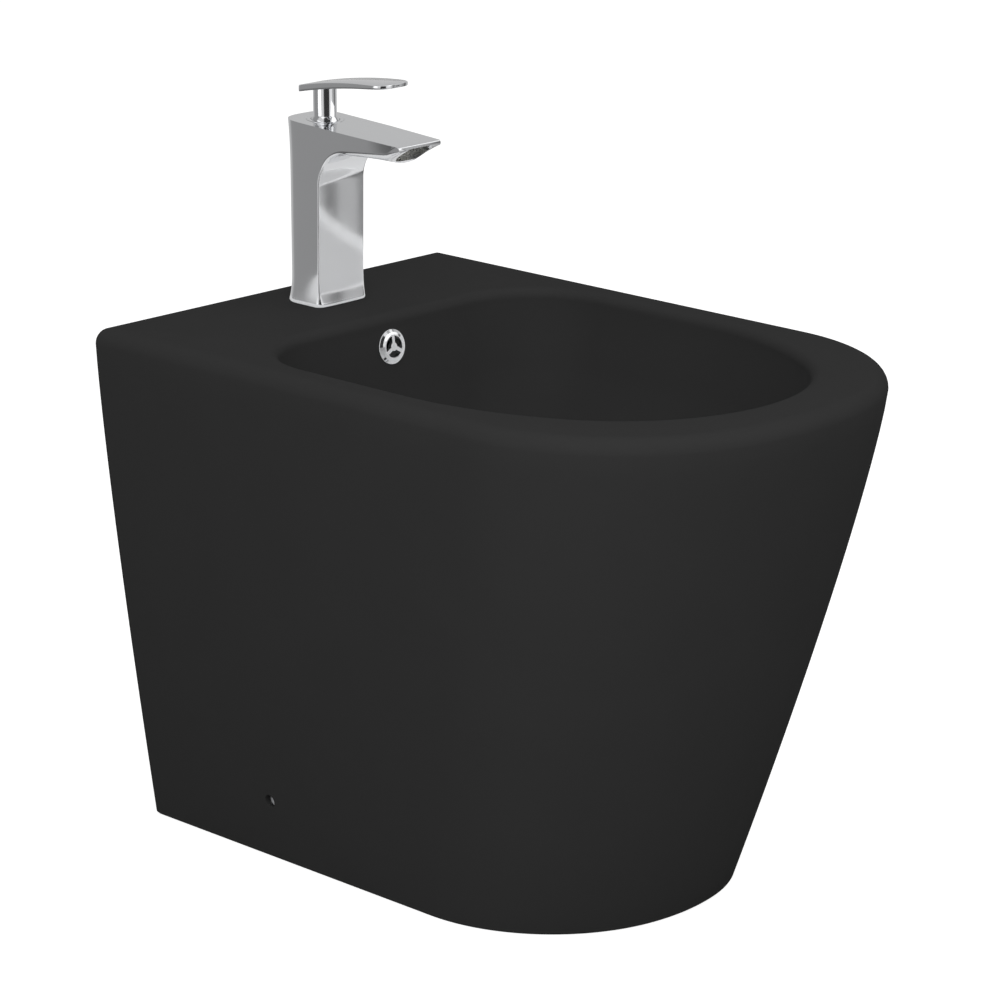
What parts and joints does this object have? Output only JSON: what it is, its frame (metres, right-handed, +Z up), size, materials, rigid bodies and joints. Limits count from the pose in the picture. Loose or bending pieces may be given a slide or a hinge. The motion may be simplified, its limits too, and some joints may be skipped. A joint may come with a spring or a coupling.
{
  "type": "floor standing bidet",
  "caption": "Floor standing bidet in dark glazed ceramic, tapering towards the floor, with a chrome single lever mixer tap, an overflow, a push plug waste and a bottle trap.",
  "frame": {"origin": "on the floor, under the middle of the body, half way between the wall and the front of the rim", "axes": "+Z up, -Y towards the front of the bowl, +Y into the wall that the body stands against"},
  "size_m": [0.37, 0.55, 0.5778],
  "materials": {
    "black_glaze": "satin dark glaze",
    "chrome": "polished",
    "steel": "plain",
    "brass": "turned",
    "black_rubber": "matte",
    "white_nylon": "moulded",
    "white_plastic": "moulded",
    "disc_ceramic": "ground"
  },
  "bodies": {
    "bidet": {"ceramic_body": "black_glaze", "overflow_ring": "chrome", "tap_body": "chrome", "tap_base_seal": "black_rubber", "tap_stud": "steel", "tap_gasket": "black_rubber", "tap_plate": "steel", "tap_nut": "brass", "cartridge_body": "white_nylon", "cartridge_seals": "black_rubber", "cartridge_cap": "white_nylon", "fixed_disc": "disc_ceramic", "cartridge_nut": "brass", "dome_collar": "chrome", "outlet_housing": "white_nylon", "outlet_insert": "white_nylon", "waste_body": "chrome", "waste_top_seal": "black_rubber", "waste_cone_seal": "black_rubber", "waste_backnut": "brass", "click_guide": "white_nylon", "plug_spring": "steel", "trap_head": "white_plastic", "trap_inlet_nut": "white_plastic", "trap_inlet_seal": "black_rubber", "trap_dip_tube": "white_plastic", "trap_cup": "white_plastic", "trap_cup_seal": "black_rubber", "trap_outlet_nut": "white_plastic", "trap_outlet_seal": "black_rubber", "trap_outlet_pipe": "white_plastic", "bracket_left": "steel", "bracket_right": "steel", "side_screws": "steel", "screw_sleeves": "black_rubber"},
    "rotor": {"cartridge_rotor": "white_nylon", "pivot_pin": "steel"},
    "lever": {"lever_handle": "chrome", "spindle": "brass", "grub_screw": "steel", "screw_cover": "chrome"},
    "disc": {"moving_disc": "disc_ceramic", "disc_carrier": "white_nylon"},
    "plug": {"plug_cap": "chrome", "plug_stem": "brass", "plug_seal": "black_rubber"}
  },
  "joints": [
    {"name": "temperature_swivel", "type": "hinge", "parent": "bidet", "child": "rotor", "pos_m": [0, 0.211, 0.5375], "axis": [0, 0, 1], "range_deg": [-45, 45]},
    {"name": "flow_tilt", "type": "hinge", "parent": "rotor", "child": "lever", "pos_m": [0, 0.211, 0.5375], "axis": [-1, 0, 0], "range_deg": [0, 18]},
    {"name": "disc_slide", "type": "slide", "parent": "rotor", "child": "disc", "axis": [0, -1, 0], "range_m": [0, 0.0044]},
    {"name": "plug_slide", "type": "slide", "parent": "bidet", "child": "plug", "axis": [0, 0, 1], "range_m": [-0.008, 0], "deforming": ["plug_spring"]}
  ],
  "couplings": [
    {"joint": "disc_slide", "follows": "flow_tilt", "m_per_rad": 0.014}
  ]
}
